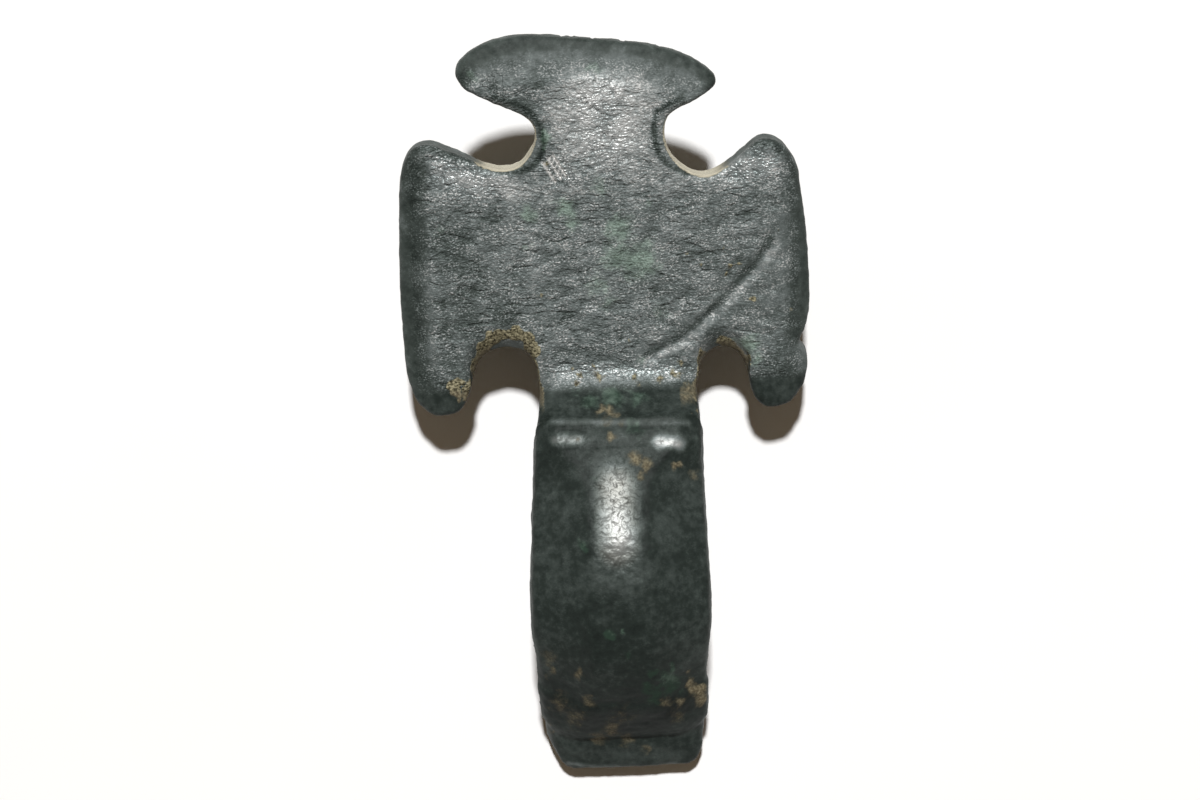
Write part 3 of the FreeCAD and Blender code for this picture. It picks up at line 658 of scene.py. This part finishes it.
# Finishes: colours as light reflected, and runs of them along a tone.
PATINA = (
    (0.0, (0.004, 0.006, 0.005)), (0.2, (0.016, 0.022, 0.019)), (0.4, (0.051, 0.063, 0.058)),
    (0.6, (0.126, 0.146, 0.144)), (0.8, (0.262, 0.280, 0.276)), (1.0, (0.47, 0.475, 0.465)),
)
VERDIGRIS = (
    (0.2, (0.026, 0.048, 0.034)), (0.45, (0.122, 0.168, 0.138)), (0.7, (0.25, 0.33, 0.285)),
)
PLATE_EARTH = (
    (0.36, (0.045, 0.041, 0.027)), (0.47, (0.17, 0.155, 0.095)), (0.63, (0.38, 0.35, 0.235)),
)
BOW_EARTH = (0.185, 0.150, 0.095)
NOTCH_EARTH = (0.50, 0.47, 0.375)
RUBBED_METAL = (0.148, 0.139, 0.126)
FILED_METAL = (0.80, 0.79, 0.76)
WIRE_DARK = (0.020, 0.032, 0.026)
WIRE_PALE = (0.050, 0.058, 0.046)
WIRE_GREEN = (0.070, 0.135, 0.105)
WIRE_RUBBED = (0.16, 0.12, 0.075)
RUST_SCALE = (0.035, 0.018, 0.012)
RUST_BROWN = (0.14, 0.060, 0.026)
RUST_BLOOM = (0.27, 0.11, 0.035)
PAPER_DIM = (0.90, 0.90, 0.90)
PAPER_WHITE = (0.93, 0.93, 0.93)

# Gloss: how rough each finish is, how metallic, and how deep its finest relief goes.
PATINA_ROUGH, POLISHED_ROUGH, SOIL_ROUGH = 0.55, 0.28, 0.85
POLISHED_METAL = 0.4
PATINA_SPECULAR = 0.1
PATINA_RELIEF = 0.05
WIRE_METAL = 0.3
WIRE_RELIEF = 0.04
RUST_RELIEF = 0.08
PAPER_ROUGH = 0.9


def finish_tree(name):
    """A new finish with its shader, and its node tree."""
    material = bpy.data.materials.new(name)
    material.use_nodes = True
    tree = material.node_tree
    return material, tree, tree.nodes["Principled BSDF"]


def place_mm(tree, scale=(1, 1, 1)):
    """The place on the piece in millimetres."""
    source = tree.nodes.new("ShaderNodeTexCoord")
    mapping = tree.nodes.new("ShaderNodeMapping")
    mapping.inputs["Scale"].default_value = tuple(s / MM for s in scale)
    tree.links.new(source.outputs["Object"], mapping.inputs["Vector"])
    return mapping.outputs["Vector"]


def mask(tree, name):
    """A number that the mesh stores for each point."""
    node = tree.nodes.new("ShaderNodeAttribute")
    node.attribute_name = name
    return node.outputs["Fac"]


def speckle(tree, place, size, detail=2.0, roughness=0.5):
    """Noise of that size in millimetres."""
    node = tree.nodes.new("ShaderNodeTexNoise")
    node.inputs["Scale"].default_value = 1 / size
    node.inputs["Detail"].default_value = detail
    node.inputs["Roughness"].default_value = roughness
    tree.links.new(place, node.inputs["Vector"])
    return node.outputs["Fac"]


def spots(tree, place, size):
    """How far each place is from scattered centres."""
    node = tree.nodes.new("ShaderNodeTexVoronoi")
    node.inputs["Scale"].default_value = 1 / size
    tree.links.new(place, node.inputs["Vector"])
    return node.outputs["Distance"]


def step(tree, value, low, high, out_low=0.0, out_high=1.0):
    """Turns a value's range into another, with smooth ends."""
    node = tree.nodes.new("ShaderNodeMapRange")
    node.interpolation_type = "SMOOTHSTEP"
    node.inputs["From Min"].default_value = low
    node.inputs["From Max"].default_value = high
    node.inputs["To Min"].default_value = out_low
    node.inputs["To Max"].default_value = out_high
    tree.links.new(value, node.inputs["Value"])
    return node.outputs["Result"]


def worked(tree, kind, a, b=0.0):
    """Two values put together in that kind of sum, each a socket or a number."""
    node = tree.nodes.new("ShaderNodeMath")
    node.operation = kind
    for value, socket in zip((a, b), node.inputs):
        if isinstance(value, (int, float)):
            socket.default_value = value
        else:
            tree.links.new(value, socket)
    return node.outputs["Value"]


def plus(tree, a, b):
    """Both values together."""
    return worked(tree, "ADD", a, b)


def less(tree, a, b):
    """The first value less the second."""
    return worked(tree, "SUBTRACT", a, b)


def times(tree, a, b):
    """One value times the other."""
    return worked(tree, "MULTIPLY", a, b)


def larger(tree, a, b):
    """The larger of two values."""
    return worked(tree, "MAXIMUM", a, b)


def unsigned(tree, a):
    """A value without its sign."""
    return worked(tree, "ABSOLUTE", a)


def uneven(tree, value, noise_value, amount):
    """A value made uneven by a noise round its middle; the amount is a number or a socket."""
    return plus(tree, value, times(tree, less(tree, noise_value, 0.5), amount))


def shades(tree, value, stops):
    """A run of colours along a value."""
    node = tree.nodes.new("ShaderNodeValToRGB")
    marks = node.color_ramp.elements
    marks[0].position, marks[0].color = stops[0][0], (*stops[0][1], 1)
    marks[1].position, marks[1].color = stops[-1][0], (*stops[-1][1], 1)
    for position, colour in stops[1:-1]:
        marks.new(position).color = (*colour, 1)
    tree.links.new(value, node.inputs["Fac"])
    return node.outputs["Color"]


def tint(tree, share, low, high):
    """A colour between two, each a colour or a socket."""
    node = tree.nodes.new("ShaderNodeMix")
    node.data_type = "RGBA"
    tree.links.new(share, node.inputs[0])
    for value, socket in ((low, node.inputs[6]), (high, node.inputs[7])):
        if isinstance(value, tuple):
            socket.default_value = (*value, 1)
        else:
            tree.links.new(value, socket)
    return node.outputs[2]


def between(tree, share, low, high):
    """A number between two, each a number or a socket."""
    node = tree.nodes.new("ShaderNodeMix")
    node.data_type = "FLOAT"
    tree.links.new(share, node.inputs[0])
    for value, socket in ((low, node.inputs[2]), (high, node.inputs[3])):
        if isinstance(value, (int, float)):
            socket.default_value = value
        else:
            tree.links.new(value, socket)
    return node.outputs[0]


def relief(tree, shader, height, strength, depth):
    """Gives the shader a fine relief, its depth in millimetres."""
    bump = tree.nodes.new("ShaderNodeBump")
    bump.inputs["Strength"].default_value = strength
    bump.inputs["Distance"].default_value = depth * MM
    tree.links.new(height, bump.inputs["Height"])
    tree.links.new(bump.outputs["Normal"], shader.inputs["Normal"])


def soil_share(tree, crumbs):
    """Where soil still sticks: crumbly patches on the plate, and stains on the bow."""
    grainy = mask(tree, "grainy")
    loose = uneven(tree, mask(tree, "soil"), crumbs, step(tree, grainy, 0.1, 1.0, 0.75, 1.1))
    stain = step(tree, loose, 0.12, 1.0, 0.0, 0.85)
    patch = step(tree, loose, 0.22, 0.55)
    return between(tree, step(tree, grainy, 0.15, 0.8), stain, patch)


def painted_glint_specks(tree, grainy):
    """Painted glints: fine pale specks in clusters, drawn out across the plate."""
    across = place_mm(tree, scale=(0.7, 1, 1))
    specks = step(tree, speckle(tree, across, 0.095, detail=1.0), 0.46, 0.72)
    clusters = step(tree, speckle(tree, across, 0.8), 0.36, 0.62, 0.30, 1.0)
    return times(tree, times(tree, specks, clusters), times(tree, grainy, 0.42))


def patina_tone_and_painted_light(tree, place, small):
    """How pale the patina is, with its painted light and shade, painted glint specks, mottling, and
    painted shade in its hollows.
    """
    grainy = mask(tree, "grainy")
    broad = speckle(tree, place, 1.8, detail=3.0, roughness=0.6)
    tone = less(tree, mask(tree, "tone"), times(tree, grainy, 0.085))
    # Painted glints as pale specks.
    tone = plus(tree, tone, painted_glint_specks(tree, grainy))
    tone = uneven(tree, uneven(tree, tone, small, 0.26), broad, 0.38)
    # Painted shade in the hollows of the relief.
    tone = less(tree, tone, times(tree, mask(tree, "hollow"), 0.08))
    # A painted highlight along the arrises, partly worn metal.
    return plus(tree, tone, times(tree, mask(tree, "arris"), 0.07))


def bronze_colour(tree, place, tone, green, soil):
    """Patina that turns green in places, rubbed on the bow, with soil and bright file marks."""
    colour = tint(tree, green, shades(tree, tone, PATINA), shades(tree, tone, VERDIGRIS))
    polished = less(tree, mask(tree, "shine"), mask(tree, "grainy"))
    colour = tint(tree, step(tree, polished, 0.2, 0.65, 0.0, 0.7), colour, RUBBED_METAL)
    colour = tint(tree, soil, colour, earth_colour(tree, speckle(tree, place, 0.17)))
    filed = step(tree, mask(tree, "filed"), 0.3, 0.9, 0.0, 0.65)
    return tint(tree, filed, colour, FILED_METAL)


def earth_colour(tree, grains):
    """Olive-grey soil with dark crumbs, plainer on the bow and cream on the upper notch walls."""
    on_head = step(tree, mask(tree, "grainy"), 0.15, 0.8, 0.45, 1.0)
    earth = tint(tree, on_head, BOW_EARTH, shades(tree, grains, PLATE_EARTH))
    return tint(tree, mask(tree, "cream"), earth, NOTCH_EARTH)


def old_bronze():
    """Patina on cast copper alloy: grey and glinting where worn, green and dull elsewhere, with
    painted light and shade in its tone.
    """
    material, tree, shader = finish_tree("old_bronze")
    place = place_mm(tree)
    small = speckle(tree, place, 0.45, detail=3.0, roughness=0.6)
    crumbs = speckle(tree, place, 0.35, detail=4.0, roughness=0.65)
    crease = fine_creases(tree, place)
    tone = patina_tone_and_painted_light(tree, place, small)
    # Painted shade in the fine creases.
    tone = less(tree, tone, times(tree, less(tree, 1.0, crease), 0.10))
    green = step(tree, uneven(tree, mask(tree, "verdigris"), small, 1.3), 0.1, 1.0, 0.0, 0.9)
    soil = soil_share(tree, crumbs)
    colour = bronze_colour(tree, place, tone, green, soil)
    tree.links.new(colour, shader.inputs["Base Color"])
    dull = larger(tree, soil, green)
    shine = mask(tree, "shine")
    rough = step(tree, shine, 0.0, 1.0, PATINA_ROUGH, POLISHED_ROUGH)
    tree.links.new(between(tree, dull, rough, SOIL_ROUGH), shader.inputs["Roughness"])
    metal = step(tree, shine, 0.0, 1.0, 0.0, POLISHED_METAL)
    tree.links.new(between(tree, dull, metal, 0.0), shader.inputs["Metallic"])
    shader.inputs["Specular IOR Level"].default_value = PATINA_SPECULAR
    height = bronze_height(tree, place, crease, crumbs, soil)
    relief(tree, shader, height, 1.0, PATINA_RELIEF)
    return material


def fine_creases(tree, place):
    """0 in the finest creases, which run across the brooch, and 1 between them."""
    across = place_mm(tree, scale=(0.40, 1, 1))
    middle = unsigned(tree, less(tree, speckle(tree, across, 1.1), 0.5))
    line = less(tree, 1.0, step(tree, middle, 0.0, 0.055))
    broken = step(tree, speckle(tree, place, 1.4), 0.44, 0.56)
    where = times(tree, mask(tree, "battered"), mask(tree, "grainy"))
    return less(tree, 1.0, times(tree, times(tree, line, broken), where))


def bronze_height(tree, place, crease, crumbs, soil):
    """The finest pits, grain, hammer marks and scratches, too small for the mesh."""
    battered, hammered = mask(tree, "battered"), mask(tree, "hammered")
    pits = step(tree, spots(tree, place, 0.36), 0.0, 0.45)
    grains = speckle(tree, place_mm(tree, scale=(0.6, 1, 1)), 0.14, detail=1.0)
    lumps = speckle(tree, place, 0.42, detail=1.0)
    dimples = step(tree, spots(tree, place, 0.40), 0.0, 0.5)
    blows = speckle(tree, place, 0.50)
    height = step(tree, unsigned(tree, mask(tree, "scratch_side")), 0.2, 1.8)
    layers = (
        (pits, battered, 0.5), (grains, battered, 2.3), (lumps, mask(tree, "grainy"), 1.3),
        (crease, 1.0, 1.1), (blows, hammered, 1.2), (dimples, hammered, 0.35), (crumbs, soil, 1.2),
    )
    for layer, where, share in layers:
        height = plus(tree, height, times(tree, times(tree, layer, where), share))
    return height


def wire_patina():
    """Dull green-brown patina on drawn wire, with a few brighter rubbed places."""
    material, tree, shader = finish_tree("wire_patina")
    place = place_mm(tree)
    broad = speckle(tree, place, 1.4, detail=3.0)
    small = speckle(tree, place, 0.28, detail=4.0, roughness=0.6)
    colour = tint(tree, step(tree, broad, 0.35, 0.65), WIRE_DARK, WIRE_PALE)
    colour = tint(tree, step(tree, small, 0.58, 0.72, 0.0, 0.7), colour, WIRE_GREEN)
    colour = tint(tree, step(tree, broad, 0.62, 0.72, 0.0, 0.7), colour, WIRE_RUBBED)
    tree.links.new(colour, shader.inputs["Base Color"])
    tree.links.new(step(tree, small, 0.3, 0.7, 0.42, 0.72), shader.inputs["Roughness"])
    shader.inputs["Metallic"].default_value = WIRE_METAL
    relief(tree, shader, plus(tree, small, speckle(tree, place, 0.12)), 0.6, WIRE_RELIEF)
    return material


def iron_rust():
    """Rough brown rust with darker scale and a few orange blooms."""
    material, tree, shader = finish_tree("iron_rust")
    place = place_mm(tree)
    broad = speckle(tree, place, 0.9, detail=4.0)
    small = speckle(tree, place, 0.2, detail=4.0, roughness=0.7)
    colour = tint(tree, step(tree, broad, 0.35, 0.65), RUST_SCALE, RUST_BROWN)
    colour = tint(tree, step(tree, small, 0.6, 0.75), colour, RUST_BLOOM)
    tree.links.new(colour, shader.inputs["Base Color"])
    tree.links.new(step(tree, small, 0.3, 0.7, 0.75, 0.95), shader.inputs["Roughness"])
    relief(tree, shader, plus(tree, broad, small), 0.8, RUST_RELIEF)
    return material


# The sprung wire and its bar

def coil_place(turned, side):
    """A place on the coils by degrees turned from their top, on the right, 1, or the left, -1."""
    across = side * (COIL_START + COIL_PITCH * turned / 360)
    angle = math.radians(90 - turned)
    along = AXIS_LEVEL + COIL_RADIUS * math.cos(angle)
    above = -AXIS_DEPTH + COIL_RADIUS * math.sin(angle)
    return (across, along, above)


def coil_places(first, last, side, spacing=15):
    """Places along the coils from one turn to another."""
    count = max(1, round(abs(last - first) / spacing))
    return [coil_place(first + (last - first) * i / count, side) for i in range(count + 1)]


def bend_places(side):
    """From the top of the last turn to the chord: a lead, a bend down and a bend inwards."""
    outer = side * (COIL_START + COIL_PITCH * COIL_TURNS)
    lead = CHORD_REACH - COIL_RADIUS
    found = [(outer, AXIS_LEVEL + lead * share, COIL_RADIUS - AXIS_DEPTH) for share in (0.4, 0.8)]
    for turned in LEAD_STEPS:
        a = math.radians(turned)
        along = AXIS_LEVEL + lead + COIL_RADIUS * math.sin(a)
        found.append((outer, along, COIL_RADIUS * math.cos(a) - AXIS_DEPTH))
    for turned in CHORD_STEPS:
        a = math.radians(turned)
        across = outer - side * CHORD_BEND * (1 - math.cos(a))
        found.append((across, AXIS_LEVEL + CHORD_REACH, -CHORD_BEND * math.sin(a) - AXIS_DEPTH))
    return found


def wire_mesh(name, route, ends):
    """A round wire through places on the plate, thinning to its ends' shares of full thickness."""
    curve = bpy.data.curves.new(name, "CURVE")
    curve.dimensions = "3D"
    curve.bevel_depth = WIRE_RADIUS * MM
    curve.bevel_resolution = 5
    curve.resolution_u = 4
    curve.use_fill_caps = True
    line = curve.splines.new("NURBS")
    line.points.add(len(route) - 1)
    for point, (u, v, w) in zip(line.points, route):
        point.co = (*(Vector(plate_point(u, v, w)) * MM), 1)
    line.order_u = 3
    line.use_endpoint_u = True
    line.points[0].radius, line.points[-1].radius = ends
    holder = new_piece(name + "_line", curve)
    mesh = made_mesh(holder)
    bpy.data.objects.remove(holder)
    mesh.name = name
    return mesh


def corroded(mesh, depth, seed):
    """Roughens a wire or bar and rounds nothing away."""
    work = bmesh.new()
    work.from_mesh(mesh)
    bmesh.ops.remove_doubles(work, verts=work.verts, dist=WIRE_MERGE * MM)
    bmesh.ops.recalc_face_normals(work, faces=work.faces)
    work.to_mesh(mesh)
    work.free()
    points, normals = places(mesh)
    broad, small = grain(points, 1.1, shift=seed), grain(points, 0.4, shift=seed + 5)
    height = broad * depth + small * depth * 0.6
    raise_skin(mesh, points, normals, height)
    smooth_shading(mesh)


def pin_wire():
    """Right coil and pin in one wire: its outer end stays, its inner end turns with the pin."""
    route = [(COIL_START, v, w) for v, w in reversed(PIN_PATH)]
    route += coil_places(PIN_LEAVES, OUTER_TURN, 1)
    mesh = wire_mesh("sprung_pin", route, (0.7, 1))
    corroded(mesh, WIRE_CORROSION, seed=31)
    piece = new_piece("sprung_pin", mesh)
    mesh.materials.append(wire_patina())
    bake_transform(piece)
    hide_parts("pin")


def fixed_wire():
    """The chord, the left coil and the tail that bears on the plate."""
    right = bend_places(1)
    left = bend_places(-1)
    last = coil_place(TAIL_LEAVES, -1)
    lean = (TAIL_LENGTH * math.cos(TAIL_SLOPE), TAIL_LENGTH * math.sin(TAIL_SLOPE))
    route = [coil_place(OUTER_TURN, 1)] + right + list(reversed(left))
    route += coil_places(OUTER_TURN, TAIL_LEAVES, -1)
    route += [(last[0], last[1] - lean[0] * s, last[2] + lean[1] * s) for s in (0.35, 0.7, 1)]
    mesh = wire_mesh("spring_coil", route, (1, 0.75))
    corroded(mesh, WIRE_CORROSION, seed=57)
    piece = new_piece("spring_coil", mesh)
    mesh.materials.append(bpy.data.materials["wire_patina"])
    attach(piece, "casting")
    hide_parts("spring")


def iron_bar():
    """The rusted bar that carries the spring."""
    piece = merged_copy("axis_bar", "iron_bar")
    even_skin(piece, BAR_GRAIN)
    wear_round(piece, BAR_WEAR)
    corroded(piece.data, BAR_CORROSION, seed=83)
    piece.data.materials.append(iron_rust())
    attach(piece, "casting")
    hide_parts("axis_bar")


# Floor, lamp, room and camera; the lamp leans towards the head of the brooch
FLOOR_SIZE = 1600
PAPER_MOTTLE = 40.0
KEY_DISTANCE = 1600
KEY_TILT = math.radians(28.5)
KEY_TURN = math.radians(1)
KEY_SIZE = 112
KEY_WATTS = 30
ROOM_COLOUR = (0.100, 0.073, 0.046)


def paper_floor():
    """A sheet of white paper under the brooch."""
    mesh = bpy.data.meshes.new("paper_floor")
    work = bmesh.new()
    bmesh.ops.create_grid(work, x_segments=2, y_segments=2, size=FLOOR_SIZE / 2 * MM)
    work.to_mesh(mesh)
    work.free()
    floor = new_piece("paper_floor", mesh)
    material, tree, shader = finish_tree("white_paper")
    place = place_mm(tree)
    shade = step(tree, speckle(tree, place, PAPER_MOTTLE), 0.3, 0.7)
    colour = tint(tree, shade, PAPER_DIM, PAPER_WHITE)
    tree.links.new(colour, shader.inputs["Base Color"])
    shader.inputs["Roughness"].default_value = PAPER_ROUGH
    mesh.materials.append(material)


def key_lamp():
    """The one square soft lamp, aimed at the middle of the brooch."""
    light = bpy.data.lights.new("key", "AREA")
    light.size = KEY_SIZE * MM
    light.energy = KEY_WATTS
    holder = bpy.data.objects.new("key", light)
    bpy.context.scene.collection.objects.link(holder)
    across, along = math.sin(KEY_TURN), math.cos(KEY_TURN)
    low, high = math.sin(KEY_TILT), math.cos(KEY_TILT)
    away = Vector((low * across, low * along, high))
    holder.location = away * KEY_DISTANCE * MM
    holder.rotation_euler = away.to_track_quat("Z", "Y").to_euler()


def room_light():
    """A dim warm room, which the camera and reflections see as white as the paper."""
    world = bpy.data.worlds.new("room")
    bpy.context.scene.world = world
    world.use_nodes = True
    tree = world.node_tree
    path = tree.nodes.new("ShaderNodeLightPath").outputs
    mirrored = larger(tree, path["Is Glossy Ray"], path["Is Transmission Ray"])
    seen = larger(tree, path["Is Camera Ray"], mirrored)
    colour = tint(tree, seen, ROOM_COLOUR, (1.0, 1.0, 1.0))
    tree.links.new(colour, tree.nodes["Background"].inputs["Color"])


def photo_camera():
    """The camera straight above the brooch, at the photograph's angle."""
    camera = bpy.data.cameras.new("camera")
    camera.lens = LENS
    camera.sensor_width = SENSOR
    camera.clip_start = 0.01
    camera.clip_end = 10
    holder = bpy.data.objects.new("camera", camera)
    bpy.context.scene.collection.objects.link(holder)
    holder.location = Vector(CAMERA_PLACE) * MM
    holder.rotation_euler = (0, 0, -CAMERA_ROLL)
    bpy.context.scene.camera = holder


bpy.context.scene.view_settings.view_transform = "Standard"
photo_camera()
paper_floor()
key_lamp()
room_light()
cast_body()
pin_wire()
fixed_wire()
iron_bar()
